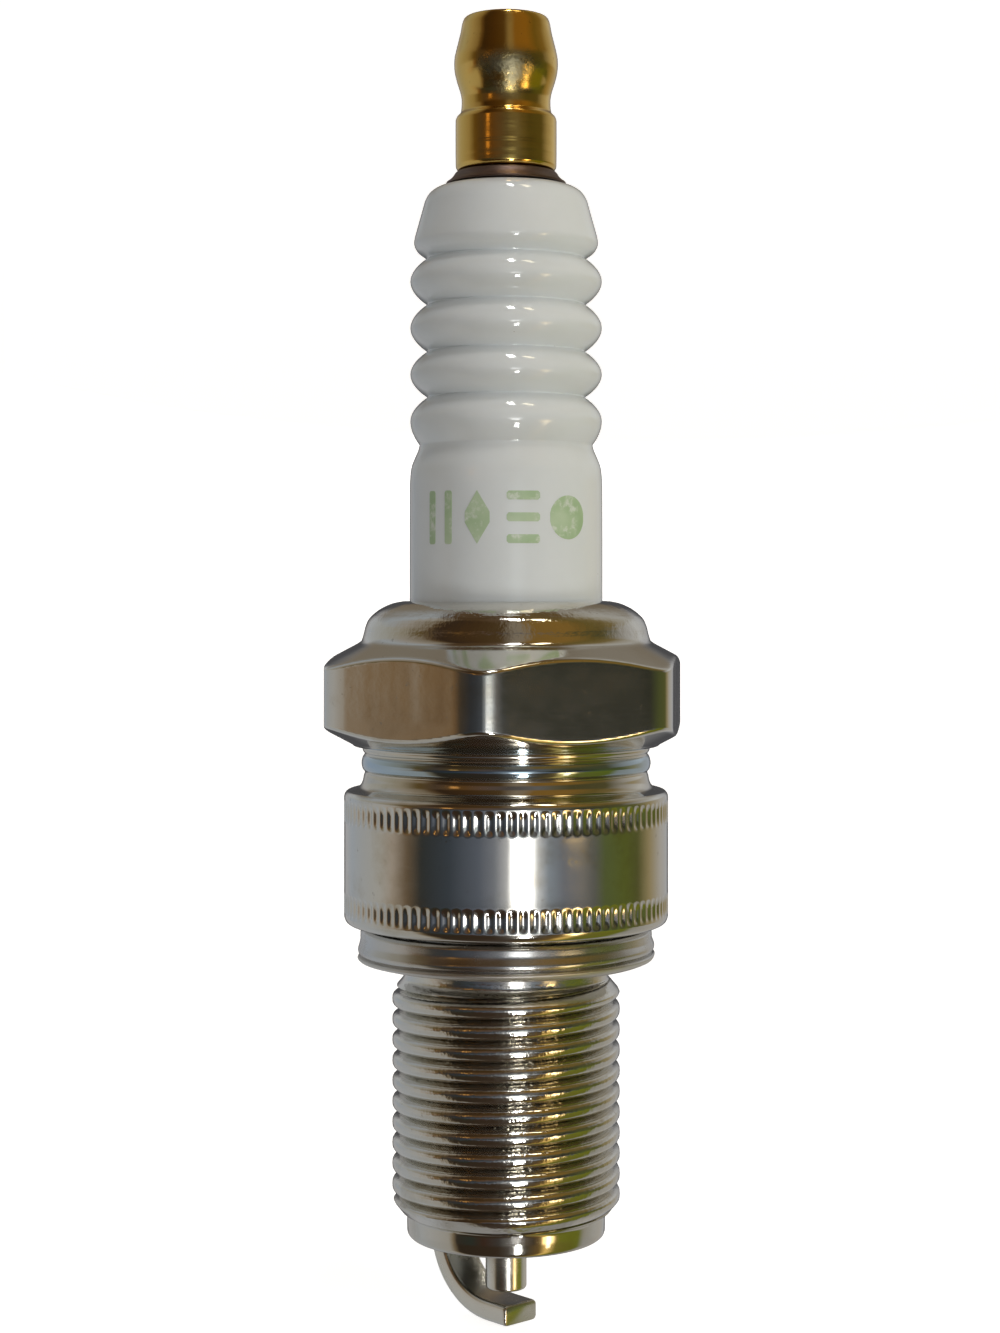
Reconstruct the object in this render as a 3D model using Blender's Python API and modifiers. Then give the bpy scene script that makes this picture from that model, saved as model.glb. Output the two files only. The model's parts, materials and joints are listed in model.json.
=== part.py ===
"""Spark plug, M14 x 1.25, 19 mm reach, 20.8 mm hexagon, gasket seat, removable terminal nut.

Frame: +Z runs up the axis towards the terminal. The origin is on the axis, in the lower
face of the sealing gasket, which is the plane that lands on the cylinder head.
All driving dimensions are in millimetres and are turned into metres by MM.
"""

import math

import bmesh
import bpy
from mathutils import Matrix, Vector

MM = 0.001

# ---------------------------------------------------------------- driving dimensions, mm
# thread and shell
THREAD_MAJOR_R = 6.90        # M14, as rolled and plated
THREAD_ROOT_R = 6.20
THREAD_PITCH = 1.25
REACH = 19.0                 # shell seat to shell end
HEX_ACROSS_FLATS = 20.8
HEX_CORNER_R = 11.72         # corners are turned down a little
HEX_CORNER_TURN = -7.0       # degrees, one corner, from -Y towards +X
BARREL_R = 9.85
NECK_R = 8.66

# heights of the shell's steps
Z_SEAT = 2.50                # underside of the barrel
Z_END = Z_SEAT - REACH       # lower end of the shell
Z_BARREL_TOP = 10.55
Z_HEX_LOW = 13.35
Z_HEX_TOP = 19.45
Z_CRIMP_TOP = 22.05
Z_LEDGE = -5.0               # inner ledge that carries the insulator

# sealing gasket, a folded steel ring held captive by the first thread
GASKET_R = 9.15
GASKET_LIP_R = 6.62
GASKET_H = 2.20

# insulator
INS_HEAD_R = 5.88
INS_BULGE_R = 7.30
INS_STEM_R = 4.80
INS_BORE_R = 2.28
INS_TIP_BORE_R = 1.33
Z_INS_TOP = 47.30
Z_INS_TIP = -17.30
RIB_CREST_R = 5.80
RIB_NOTCH_R = 4.82
RIB_NOTCH_Z = (42.87, 40.06, 37.20, 34.42, 31.52)   # the last notch is shallow
RIB_SOFTNESS = 0.75          # below 1: full crests and tight notches

# terminal
NUT_BULGE_R = 3.18
NUT_NECK_R = 2.70
NUT_COLLAR_R = 3.08
NUT_BORE_R = 2.12
Z_NUT_LOW = 48.20
Z_NUT_TOP = 57.60
STUD_MAJOR_R = 1.95          # M4
STUD_ROOT_R = 1.52
STUD_PITCH = 0.70
STUD_FLANGE_R = 3.66

# electrodes
CENTRE_R = 1.25
Z_CENTRE_TIP = -19.80
SPARK_GAP = 0.70
STRAP_T = 1.25
STRAP_W = 2.60
STRAP_HEADING = 42.7         # degrees, free end of the strap, from -Y towards +X
STRAP_TIP = 1.32             # how far the strap runs past the axis

# facets round each turned piece
ROUND_BIG = 32
ROUND_SMALL = 20


# ---------------------------------------------------------------- scene and helpers
for old in list(bpy.data.objects):
    bpy.data.objects.remove(old, do_unlink=True)

scene = bpy.context.scene
scene.unit_settings.system = "METRIC"
scene.unit_settings.scale_length = 1.0

PARTS = bpy.data.collections.new("spark_plug")
CUTTERS = bpy.data.collections.new("cutters")
scene.collection.children.link(PARTS)
scene.collection.children.link(CUTTERS)


def material(name, rgb, metallic, roughness):
    mat = bpy.data.materials.new(name)
    mat.use_nodes = True
    bsdf = mat.node_tree.nodes["Principled BSDF"]
    bsdf.inputs["Base Color"].default_value = (*rgb, 1.0)
    bsdf.inputs["Metallic"].default_value = metallic
    bsdf.inputs["Roughness"].default_value = roughness
    return mat


BRASS = material("yellow_plated_brass", (0.62, 0.44, 0.14), 1.0, 0.22)
STEEL = material("terminal_steel", (0.45, 0.38, 0.32), 1.0, 0.35)
ALUMINA = material("glazed_alumina", (0.82, 0.83, 0.82), 0.0, 0.12)
GLASS_SEAL = material("conductive_glass", (0.16, 0.11, 0.09), 0.2, 0.5)
NICKEL = material("nickel_alloy", (0.58, 0.55, 0.47), 1.0, 0.35)
COPPER = material("copper", (0.75, 0.36, 0.22), 1.0, 0.3)
PLATED = material("nickel_plated_steel", (0.72, 0.70, 0.64), 1.0, 0.14)
WIRE = material("packing_ring_steel", (0.42, 0.42, 0.43), 1.0, 0.4)
TALC = material("pressed_talc", (0.80, 0.79, 0.74), 0.0, 0.9)
GASKET = material("gasket_steel", (0.66, 0.65, 0.62), 1.0, 0.2)


def put(obj, mat=None, collection=PARTS):
    for c in list(obj.users_collection):
        c.objects.unlink(obj)
    collection.objects.link(obj)
    if mat is not None:
        obj.data.materials.append(mat)
    return obj


def as_cutter(obj):
    put(obj, None, CUTTERS)
    obj.hide_render = True
    obj.display_type = "WIRE"
    return obj


def turned(name, profile, steps, mat=None, closed=True):
    """A turned piece: (radius, height) points in mm, down the outside and up the inside.
    An open profile starts and ends on the axis."""
    mesh = bpy.data.meshes.new(name)
    bm = bmesh.new()
    points = [bm.verts.new((r * MM, 0.0, z * MM)) for r, z in profile]
    for a, b in zip(points, points[1:]):
        bm.edges.new((a, b))
    if closed:
        bm.edges.new((points[-1], points[0]))
    bm.to_mesh(mesh)
    bm.free()
    obj = bpy.data.objects.new(name, mesh)
    put(obj, mat)
    screw = obj.modifiers.new("turn", "SCREW")
    screw.axis = "Z"
    screw.angle = 2 * math.pi
    screw.steps = screw.render_steps = steps
    screw.use_merge_vertices = True
    screw.merge_threshold = 1e-6
    screw.use_smooth_shade = True
    return obj


def boolean(obj, other, operation):
    mod = obj.modifiers.new(operation.lower(), "BOOLEAN")
    mod.operation = operation
    mod.object = other
    mod.solver = "EXACT"
    return mod


def threaded(name, profile, at, thread, facets, mat, closed=True):
    """A turned piece with a right-hand thread between rings `at` and `at + 1` of its profile.

    thread holds pitch, root radius, crest radius, the tooth as (phase, height) points from
    root to root, the height of its first row at angle 0, its number of rows, and a limit
    function of height that fades the crests out at both ends. Rows follow the helix, so row m
    after a full turn meets row m - n, n being the number of points in a tooth."""
    pitch, root, crest, tooth, z_first, rows, limit = thread
    n = len(tooth)
    mesh = bpy.data.meshes.new(name)
    bm = bmesh.new()

    def point(r, z, j):
        a = 2 * math.pi * j / facets
        return bm.verts.new((r * math.cos(a) * MM, r * math.sin(a) * MM, z * MM))

    def ring(r, z):
        if r == 0.0:
            return [bm.verts.new((0.0, 0.0, z * MM))] * facets
        return [point(r, z, j) for j in range(facets)]

    def row_point(m, j):
        phase, height = tooth[m % n]
        z = z_first - pitch * (m // n + phase) + pitch * j / facets
        return point(min(root + (crest - root) * height, limit(z)), z, j)

    def face(*corners):
        kept = []
        for v in corners:
            if v not in kept:
                kept.append(v)
        if len(kept) > 2:
            bm.faces.new(kept)

    def band(upper, lower):
        for j in range(facets):
            k = (j + 1) % facets
            face(upper[j], lower[j], lower[k], upper[k])

    rings = [ring(r, z) for r, z in profile]
    for i in range(len(rings) - 1):
        if i != at:
            band(rings[i], rings[i + 1])
    if closed:
        band(rings[-1], rings[0])

    grid = [[row_point(m, j) for j in range(facets)] for m in range(rows)]
    ends = [row_point(m, facets) for m in range(n)]

    def after_turn(m):
        return ends[m] if m < n else grid[m - n][0]

    for m in range(rows - 1):
        for j in range(facets - 1):
            face(grid[m][j], grid[m + 1][j], grid[m + 1][j + 1], grid[m][j + 1])
        face(grid[m][-1], grid[m + 1][-1], after_turn(m + 1), after_turn(m))
    top, low = rings[at], rings[at + 1]
    last = grid[-1]
    for j in range(1, facets - 1):
        face(top[j], grid[0][j], grid[0][j + 1], top[j + 1])
        face(last[j], low[j], low[j + 1], last[j + 1])
    face(top[-1], grid[0][-1], ends[0], top[0])
    face(last[0], low[0], low[1], last[1])
    # the two places where the helix starts and stops on the seam
    fan = grid[0][1]
    face(fan, top[1], top[0])
    line = [top[0]] + ends + [grid[0][0]]
    for u, v in zip(line, line[1:]):
        face(fan, u, v)
    fan = last[-1]
    face(fan, low[-1], low[0])
    line = [low[0], last[0]] + [grid[rows - 1 - i][0] for i in range(1, n + 1)]
    for u, v in zip(line, line[1:]):
        face(fan, u, v)
    bmesh.ops.recalc_face_normals(bm, faces=bm.faces)
    bm.to_mesh(mesh)
    bm.free()
    obj = bpy.data.objects.new(name, mesh)
    return put(obj, mat)


# ---------------------------------------------------------------- shell
def shell_outer():
    """The shell's outside, from the crimped lip down to the lower end."""
    p = [(6.12, Z_CRIMP_TOP - 0.55), (6.10, Z_CRIMP_TOP - 0.12), (6.30, Z_CRIMP_TOP)]
    # the lip rolled in over the packing, then the collar above the hexagon
    p += [(6.95, Z_CRIMP_TOP - 0.16), (7.70, Z_CRIMP_TOP - 0.48), (8.25, Z_CRIMP_TOP - 0.86)]
    p += [(8.52, Z_CRIMP_TOP - 1.28), (8.66, 20.30), (8.78, 19.85), (8.98, Z_HEX_TOP)]
    # the hexagon's blank with its two 28 degree chamfers
    slope = math.tan(math.radians(28))
    p += [(HEX_CORNER_R, Z_HEX_TOP - (HEX_CORNER_R - 8.98) * slope)]
    p += [(HEX_CORNER_R, Z_HEX_LOW + (HEX_CORNER_R - 9.35) * slope)]
    p += [(9.35, Z_HEX_LOW), (8.95, Z_HEX_LOW - 0.06), (8.72, Z_HEX_LOW - 0.24)]
    # the heat-shrunk neck: two coves with a bead between them
    p += [(NECK_R, 12.80), (NECK_R - 0.07, 12.62), (NECK_R + 0.08, 12.30), (NECK_R + 0.12, 12.00)]
    p += [(NECK_R + 0.06, 11.70), (NECK_R - 0.07, 11.46), (NECK_R, 11.20), (8.80, 10.82)]
    p += [(9.05, Z_BARREL_TOP + 0.06), (BARREL_R - 0.30, Z_BARREL_TOP)]
    p += [(BARREL_R - 0.06, Z_BARREL_TOP - 0.12), (BARREL_R, Z_BARREL_TOP - 0.40)]
    p += [(BARREL_R, Z_SEAT + 0.55), (BARREL_R - 0.10, Z_SEAT + 0.18), (BARREL_R - 0.42, Z_SEAT)]
    # under the barrel: seat face, relief for the captive gasket, thread root, plain pilot
    p += [(6.40, Z_SEAT), (THREAD_ROOT_R, Z_SEAT - 0.20), (THREAD_ROOT_R, 0.48)]
    p += [(6.02, Z_END + 0.24), (5.84, Z_END + 0.04), (5.70, Z_END)]
    return p


def shell_bore():
    """The shell's inside, from the lower end up to the lip."""
    return [
        (4.78, Z_END),
        (4.72, Z_END + 0.20),
        (4.72, Z_LEDGE - 3.00),
        (4.08, Z_LEDGE - 2.30),
        (4.08, Z_LEDGE - 0.85),
        (5.00, Z_LEDGE),
        (5.00, 3.55),
        (7.55, 6.00),
        (7.55, 19.90),
        (7.30, 20.60),
        (6.80, 21.15),
        (6.30, 21.40),
    ]


def shell_thread_limit(z):
    """Radius that the crests may reach at a height: a runout above, a pilot taper below."""
    upper = THREAD_ROOT_R + (-1.05 - z) * 0.85
    lower = 6.03 + (z + 15.45) * 0.78
    return max(6.03 if z < -14.0 else THREAD_ROOT_R, min(THREAD_MAJOR_R, upper, lower))


shell_rings = shell_outer()
shell = threaded(
    "shell",
    shell_rings + shell_bore(),
    len(shell_rings) - 4,
    (
        THREAD_PITCH,
        THREAD_ROOT_R,
        THREAD_MAJOR_R,
        [(0.092, 0.0), (0.415, 1.0), (0.585, 1.0), (0.908, 0.0)],
        -0.884,
        50,
        shell_thread_limit,
    ),
    ROUND_BIG,
    PLATED,
)
bpy.ops.mesh.primitive_cylinder_add(
    vertices=6,
    radius=HEX_ACROSS_FLATS / math.sqrt(3) * MM,
    depth=60 * MM,
    location=(0, 0, 2 * MM),
)
hexagon = as_cutter(bpy.context.object)
hexagon.name = "hexagon_bar"
# the primitive's first corner is on +Y
hexagon.rotation_euler = (0, 0, math.radians(180 + HEX_CORNER_TURN))
boolean(shell, hexagon, "INTERSECT")

# ---------------------------------------------------------------- sealing gasket
gasket = turned(
    "sealing_gasket",
    [
        (7.10, GASKET_H),
        (8.20, GASKET_H),
        (8.72, GASKET_H - 0.16),
        (8.98, GASKET_H - 0.52),
        (8.99, GASKET_H - 0.95),
        (8.84, GASKET_H - 1.26),
        (8.60, GASKET_H - 1.36),   # the fold's seam
        (8.86, GASKET_H - 1.42),
        (9.12, 0.62),
        (GASKET_R, 0.42),
        (8.98, 0.16),
        (8.62, 0.0),
        (7.25, 0.0),
        (6.98, 0.14),
        (6.90, 0.45),
        (GASKET_LIP_R, 0.90),      # the lip that keeps the ring on the plug
        (GASKET_LIP_R, 1.30),
        (6.90, 1.75),
    ],
    ROUND_BIG,
    GASKET,
)

# ---------------------------------------------------------------- insulator


def insulator_outer():
    p = [(3.72, Z_INS_TOP), (4.20, 47.18), (4.62, 46.92), (4.90, 46.52), (5.04, 46.10)]
    p += [(5.58, 44.10), (5.63, 43.72), (5.52, 43.36)]
    for upper, lower in zip(RIB_NOTCH_Z, RIB_NOTCH_Z[1:]):
        last = lower == RIB_NOTCH_Z[-1]
        for i in range(5):
            t = i / 5
            notch = RIB_NOTCH_R
            if last and t > 0.45:
                notch = 5.26
            rise = math.sin(math.pi * t) ** RIB_SOFTNESS
            p.append((notch + (RIB_CREST_R + 0.03 - notch) * rise, upper + (lower - upper) * t))
    p += [(5.26, RIB_NOTCH_Z[-1]), (5.42, 31.05), (5.70, 30.45), (5.85, 29.90), (INS_HEAD_R, 29.30)]
    p += [(INS_HEAD_R, 13.85), (6.20, 13.62), (6.95, 13.20), (INS_BULGE_R, 12.70)]
    p += [(INS_BULGE_R, 6.35), (INS_STEM_R, 3.95), (INS_STEM_R, -4.48), (3.92, -5.30)]
    p += [(3.80, -6.40), (2.50, -16.80), (2.34, -17.15), (2.08, Z_INS_TIP)]
    return p


def insulator_bore():
    return [
        (1.50, Z_INS_TIP),
        (INS_TIP_BORE_R, -17.10),
        (INS_TIP_BORE_R, 0.20),
        (INS_BORE_R, 0.95),
        (INS_BORE_R, Z_INS_TOP - 0.25),
        (2.50, Z_INS_TOP),
    ]


insulator = turned("insulator", insulator_outer() + insulator_bore(), ROUND_BIG, ALUMINA)

# ---------------------------------------------------------------- packing between insulator and shell
for ring_name, ring_z in (("upper_packing_ring", 20.02), ("lower_packing_ring", 14.62)):
    bpy.ops.mesh.primitive_torus_add(
        major_segments=ROUND_BIG,
        minor_segments=8,
        major_radius=6.72 * MM,
        minor_radius=0.60 * MM,
        location=(0, 0, ring_z * MM),
    )
    ring = bpy.context.object
    ring.name = ring.data.name = ring_name
    put(ring, WIRE)

turned(
    "talc_packing",
    [(7.48, 19.10), (7.48, 15.50), (7.20, 15.34), (6.20, 15.34), (5.96, 15.50), (5.96, 19.10), (6.20, 19.26), (7.20, 19.26)],
    ROUND_BIG,
    TALC,
)

# the washer lies on the shell's conical ledge, under the insulator's shoulder
turned(
    "insulator_seat_washer",
    [(4.92, -4.66), (4.92, -4.98), (4.14, -5.70), (4.03, -5.60), (4.03, -5.38)],
    ROUND_BIG,
    WIRE,
)

# ---------------------------------------------------------------- conductor column
stud_body = [
    (0.0, 56.95),
    (1.20, 56.95),
    (1.46, 56.72),
    (STUD_ROOT_R, 48.40),
    (1.80, 48.16),
    (3.12, 48.14),
    (3.20, 47.98),
    (3.40, 47.66),
    (STUD_FLANGE_R, 47.45),
    (STUD_FLANGE_R, 47.36),
    (2.30, 47.36),
    (1.98, 47.10),
    (1.98, 12.60),
    (1.60, 12.30),
]
# grooves that key the stud in the glass
for i in range(4):
    top = 12.10 - 1.20 * i
    stud_body += [(1.60, top), (1.86, top - 0.22), (1.86, top - 0.50), (1.60, top - 0.72)]
stud_body += [(1.45, 7.20), (1.10, 6.95), (0.0, 6.95)]


def stud_thread_limit(z):
    upper = 1.46 + (56.60 - z) * 1.1
    lower = STUD_ROOT_R + (z - 48.75) * 0.9
    return max(1.46, min(STUD_MAJOR_R, upper, lower))


stud = threaded(
    "terminal_stud",
    stud_body,
    2,
    (STUD_PITCH, STUD_ROOT_R, STUD_MAJOR_R, [(0.0, 0.0), (0.5, 1.0)], 55.92, 21, stud_thread_limit),
    ROUND_SMALL,
    STEEL,
    closed=False,
)

turned(
    "glass_seal",
    [
        (INS_BORE_R - 0.06, 12.00),
        (INS_BORE_R - 0.06, 2.20),
        (1.45, 2.20),
        (1.45, 4.20),
        (0.30, 4.45),
        (0.30, 6.55),
        (1.50, 6.70),
        (1.94, 7.10),
        (1.94, 12.00),
    ],
    ROUND_SMALL,
    GLASS_SEAL,
)

centre = turned(
    "centre_electrode",
    [
        (1.28, 4.05),
        (1.36, 3.80),
        (1.36, 2.10),
        (2.12, 2.02),
        (2.18, 1.85),
        (2.18, 1.35),
        (CENTRE_R, 0.42),
        (CENTRE_R, Z_CENTRE_TIP + 0.12),
        (CENTRE_R - 0.12, Z_CENTRE_TIP),
        (0.0, Z_CENTRE_TIP),
    ]
    + [(0.0, -17.00), (0.62, -16.90), (0.80, -16.50), (0.80, 4.05)],
    ROUND_SMALL,
    NICKEL,
)

turned(
    "centre_electrode_core",
    [(0.0, 4.02), (0.74, 4.02), (0.74, -16.42), (0.56, -16.80), (0.0, -16.90)],
    ROUND_SMALL,
    COPPER,
    closed=False,
)

# ---------------------------------------------------------------- terminal nut
turned(
    "terminal_nut",
    [
        (2.44, Z_NUT_TOP),
        (2.60, Z_NUT_TOP - 0.20),
        (2.72, 56.90),
        (2.98, 55.85),
        (3.12, 55.15),
        (NUT_BULGE_R, 54.70),
        (3.14, 54.20),
        (3.02, 53.70),
        (2.82, 53.15),
        (2.71, 52.70),
        (NUT_NECK_R, 52.20),
        (2.78, 51.85),
        (2.99, 51.32),
        (NUT_COLLAR_R, 51.02),
        (NUT_COLLAR_R, 48.36),
        (NUT_COLLAR_R - 0.14, Z_NUT_LOW),
        (2.40, Z_NUT_LOW),
        (NUT_BORE_R, 48.50),
        (2.08, 57.30),
        (2.08, Z_NUT_TOP),
    ],
    ROUND_SMALL,
    BRASS,
)

# ---------------------------------------------------------------- ground electrode
# Centre line of the strap as (distance from the axis, height), from the weld to the free end.
Z_STRAP = Z_CENTRE_TIP - SPARK_GAP - STRAP_T / 2
strap_line = [
    (5.02, Z_END - 0.06),
    (5.00, Z_END - 0.55),
    (4.86, Z_END - 1.15),
    (4.58, Z_END - 1.75),
    (4.20, Z_END - 2.35),
    (3.74, Z_END - 2.90),
    (3.20, Z_END - 3.40),
    (2.62, Z_END - 3.83),
    (2.02, Z_STRAP + 0.20),
    (1.42, Z_STRAP + 0.04),
    (0.80, Z_STRAP),
    (-STRAP_TIP, Z_STRAP),
]


def offset_side(line, d):
    """The line moved sideways by d, square to its own run at each point."""
    out = []
    for i, p in enumerate(line):
        a, b = Vector(line[max(i - 1, 0)]), Vector(line[min(i + 1, len(line) - 1)])
        t = (b - a).normalized()
        out.append((p[0] - t.y * d, p[1] + t.x * d))
    return out


outline = offset_side(strap_line, STRAP_T / 2) + offset_side(strap_line, -STRAP_T / 2)[::-1]
curve = bpy.data.curves.new("ground_electrode_outline", "CURVE")
curve.dimensions = "2D"
curve.fill_mode = "BOTH"
curve.extrude = STRAP_W / 2 * MM
spline = curve.splines.new("POLY")
spline.points.add(len(outline) - 1)
for point, (r, z) in zip(spline.points, outline):
    point.co = (r * MM, z * MM, 0.0, 1.0)
spline.use_cyclic_u = True
flat = bpy.data.objects.new("ground_electrode_outline", curve)
CUTTERS.objects.link(flat)
# the outline's own x runs from the axis out to the weld, its y is the plug's z
heading = math.radians(STRAP_HEADING)
out_dir = Vector((-math.sin(heading), math.cos(heading), 0.0))
up_dir = Vector((0.0, 0.0, 1.0))
side_dir = out_dir.cross(up_dir)
turn = Matrix((out_dir, up_dir, side_dir)).transposed().to_4x4()
bpy.context.view_layer.update()
graph = bpy.context.evaluated_depsgraph_get()
strap_mesh = bpy.data.meshes.new_from_object(flat.evaluated_get(graph))
bpy.data.objects.remove(flat, do_unlink=True)
bm = bmesh.new()
bm.from_mesh(strap_mesh)
bmesh.ops.remove_doubles(bm, verts=bm.verts, dist=1e-7)
bmesh.ops.recalc_face_normals(bm, faces=bm.faces)
bm.to_mesh(strap_mesh)
bm.free()
strap_mesh.name = "ground_electrode"
ground = bpy.data.objects.new("ground_electrode", strap_mesh)
put(ground, NICKEL)
ground.rotation_mode = "QUATERNION"
ground.rotation_quaternion = turn.to_quaternion()
soften = ground.modifiers.new("worn_edges", "BEVEL")
soften.width = 0.16 * MM
soften.segments = 2
soften.limit_method = "ANGLE"
soften.angle_limit = math.radians(50)

for part in PARTS.objects:
    if not part.data.materials:
        part.data.materials.append(STEEL)
    for poly in part.data.polygons:
        poly.use_smooth = True
bpy.context.view_layer.update()
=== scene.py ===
"""Spark plug: the visible model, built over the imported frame."""

import json
import math

import bmesh
import bpy
from mathutils import Matrix, Vector

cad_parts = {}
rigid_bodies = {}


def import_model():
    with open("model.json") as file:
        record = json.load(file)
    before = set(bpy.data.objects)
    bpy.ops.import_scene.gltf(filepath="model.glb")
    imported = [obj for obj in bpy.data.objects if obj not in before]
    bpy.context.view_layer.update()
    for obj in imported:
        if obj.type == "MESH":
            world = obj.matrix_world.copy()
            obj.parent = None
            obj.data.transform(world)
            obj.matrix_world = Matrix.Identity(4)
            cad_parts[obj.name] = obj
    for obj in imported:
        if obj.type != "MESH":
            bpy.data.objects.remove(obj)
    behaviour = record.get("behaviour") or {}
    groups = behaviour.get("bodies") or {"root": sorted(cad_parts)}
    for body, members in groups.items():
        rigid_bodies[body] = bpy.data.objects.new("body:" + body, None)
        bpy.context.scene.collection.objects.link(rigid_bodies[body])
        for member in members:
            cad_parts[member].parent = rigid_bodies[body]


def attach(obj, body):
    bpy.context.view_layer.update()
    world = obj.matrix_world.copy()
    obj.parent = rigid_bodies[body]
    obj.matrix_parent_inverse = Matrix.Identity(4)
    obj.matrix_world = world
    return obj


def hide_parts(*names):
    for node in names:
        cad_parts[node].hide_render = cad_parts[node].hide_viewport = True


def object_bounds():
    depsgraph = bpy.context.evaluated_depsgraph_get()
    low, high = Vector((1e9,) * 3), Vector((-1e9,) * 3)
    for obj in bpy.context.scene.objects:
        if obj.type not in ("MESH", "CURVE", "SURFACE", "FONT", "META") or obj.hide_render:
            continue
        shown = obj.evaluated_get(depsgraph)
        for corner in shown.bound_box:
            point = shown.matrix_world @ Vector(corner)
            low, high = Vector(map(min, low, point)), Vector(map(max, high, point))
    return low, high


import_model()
CAD_BOX = [list(c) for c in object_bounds()]

MM = 0.001
TAU = 2 * math.pi


# =====================================================================================
# mesh helpers
# =====================================================================================
def rounded(points, step=7):
    """A profile with its corners rounded. Each point is (radius, height) or
    (radius, height, corner radius), all in mm; each rounded corner becomes a short curve."""
    out = []
    for i, p in enumerate(points):
        f = p[2] if len(p) > 2 else 0.0
        here = Vector(p[:2])
        if f <= 0 or i in (0, len(points) - 1):
            out.append(tuple(here))
            continue
        a, b = Vector(points[i - 1][:2]) - here, Vector(points[i + 1][:2]) - here
        cut = min(f, 0.48 * a.length, 0.48 * b.length)
        start, end = here + a.normalized() * cut, here + b.normalized() * cut
        for k in range(step + 1):
            t = k / step
            q = start * (1 - t) ** 2 + here * 2 * t * (1 - t) + end * t * t
            out.append((q.x, q.y))
    return out


def densify(points, longest):
    """The profile with no span longer than this, in mm."""
    out = [points[0]]
    for a, b in zip(points, points[1:]):
        n = max(1, math.ceil(math.dist(a, b) / longest))
        out += [(a[0] + (b[0] - a[0]) * k / n, a[1] + (b[1] - a[1]) * k / n) for k in range(1, n + 1)]
    return out


class Grid:
    """Builds a surface of revolution from rings, each ring any function of the angle."""

    def __init__(self):
        self.bm = bmesh.new()

    def point(self, r, z, a):
        return self.bm.verts.new((r * math.cos(a) * MM, r * math.sin(a) * MM, z * MM))

    def ring(self, n, r, z):
        """n points; r and z are numbers or functions of the angle."""
        if not callable(r) and r <= 1e-9:
            return [self.bm.verts.new((0, 0, z * MM))]
        out = []
        for j in range(n):
            a = TAU * j / n
            out.append(self.point(r(a) if callable(r) else r, z(a) if callable(z) else z, a))
        return out

    def face(self, *corners):
        kept = []
        for v in corners:
            if v not in kept:
                kept.append(v)
        if len(kept) > 2:
            self.bm.faces.new(kept)

    def band(self, a, b):
        """Faces between two rings, which may have different numbers of points when one is a
        multiple of the other, or be a single point on the axis."""
        if len(a) == 1 and len(b) == 1:
            return
        if len(a) == 1:
            for j in range(len(b)):
                self.face(a[0], b[j], b[(j + 1) % len(b)])
        elif len(b) == 1:
            for j in range(len(a)):
                self.face(a[j], b[0], a[(j + 1) % len(a)])
        elif len(a) >= len(b):
            k = len(a) // len(b)
            for j in range(len(b)):
                j2 = (j + 1) % len(b)
                fan = [a[(j * k + i) % len(a)] for i in range(k + 1)]
                mid = k // 2
                if k == 1:
                    self.face(fan[0], b[j], b[j2], fan[1])
                    continue
                for i in range(mid):
                    self.face(fan[i], b[j], fan[i + 1])
                self.face(fan[mid], b[j], b[j2])
                for i in range(mid, k):
                    self.face(fan[i], b[j2], fan[i + 1])
        else:
            k = len(b) // len(a)
            for j in range(len(a)):
                j2 = (j + 1) % len(a)
                fan = [b[(j * k + i) % len(b)] for i in range(k + 1)]
                mid = k // 2
                for i in range(mid):
                    self.face(a[j], fan[i], fan[i + 1])
                self.face(a[j], fan[mid], a[j2])
                for i in range(mid, k):
                    self.face(a[j2], fan[i], fan[i + 1])

    def lathe(self, n, profile, close=False):
        rings = [self.ring(n, r, z) for r, z in profile]
        for a, b in zip(rings, rings[1:]):
            self.band(a, b)
        if close:
            self.band(rings[-1], rings[0])
        return rings

    def done(self, name, mat, sharp=None):
        bmesh.ops.recalc_face_normals(self.bm, faces=self.bm.faces)
        mesh = bpy.data.meshes.new(name)
        self.bm.to_mesh(mesh)
        self.bm.free()
        for poly in mesh.polygons:
            poly.use_smooth = True
        if sharp:
            mesh.set_sharp_from_angle(angle=math.radians(sharp))
        obj = bpy.data.objects.new(name, mesh)
        bpy.context.scene.collection.objects.link(obj)
        if mat:
            mesh.materials.append(mat)
        return obj


def thread_band(g, n, top, low, pitch, tooth, z_first, rows, settle=None):
    """A right-hand helical surface between two rings. tooth is a list of (phase, radius at
    height z) pairs; row m meets row m - len(tooth) after a full turn."""
    k = len(tooth)

    def row_point(m, j):
        phase, radius = tooth[m % k]
        z = z_first - pitch * (m // k + phase) + pitch * j / n
        r = radius(z)
        return g.point(r, settle(z) if settle else z, TAU * j / n)

    grid = [[row_point(m, j) for j in range(n)] for m in range(rows)]
    ends = [row_point(m, n) for m in range(k)]

    def turned(m):
        return ends[m] if m < k else grid[m - k][0]

    for m in range(rows - 1):
        for j in range(n - 1):
            g.face(grid[m][j], grid[m + 1][j], grid[m + 1][j + 1], grid[m][j + 1])
        g.face(grid[m][-1], grid[m + 1][-1], turned(m + 1), turned(m))
    last = grid[-1]
    for j in range(1, n - 1):
        g.face(top[j], grid[0][j], grid[0][j + 1], top[j + 1])
        g.face(last[j], low[j], low[j + 1], last[j + 1])
    g.face(top[-1], grid[0][-1], ends[0], top[0])
    g.face(last[0], low[0], low[1], last[1])
    fan = grid[0][1]
    g.face(fan, top[1], top[0])
    line = [top[0]] + ends + [grid[0][0]]
    for u, v in zip(line, line[1:]):
        g.face(fan, u, v)
    fan = last[-1]
    g.face(fan, low[-1], low[0])
    line = [low[0], last[0]] + [grid[rows - 1 - i][0] for i in range(1, k + 1)]
    for u, v in zip(line, line[1:]):
        g.face(fan, u, v)


def smooth_min(a, b, k):
    h = max(0.0, min(1.0, 0.5 + 0.5 * (b - a) / k))
    return b + (a - b) * h - k * h * (1 - h)


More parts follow.
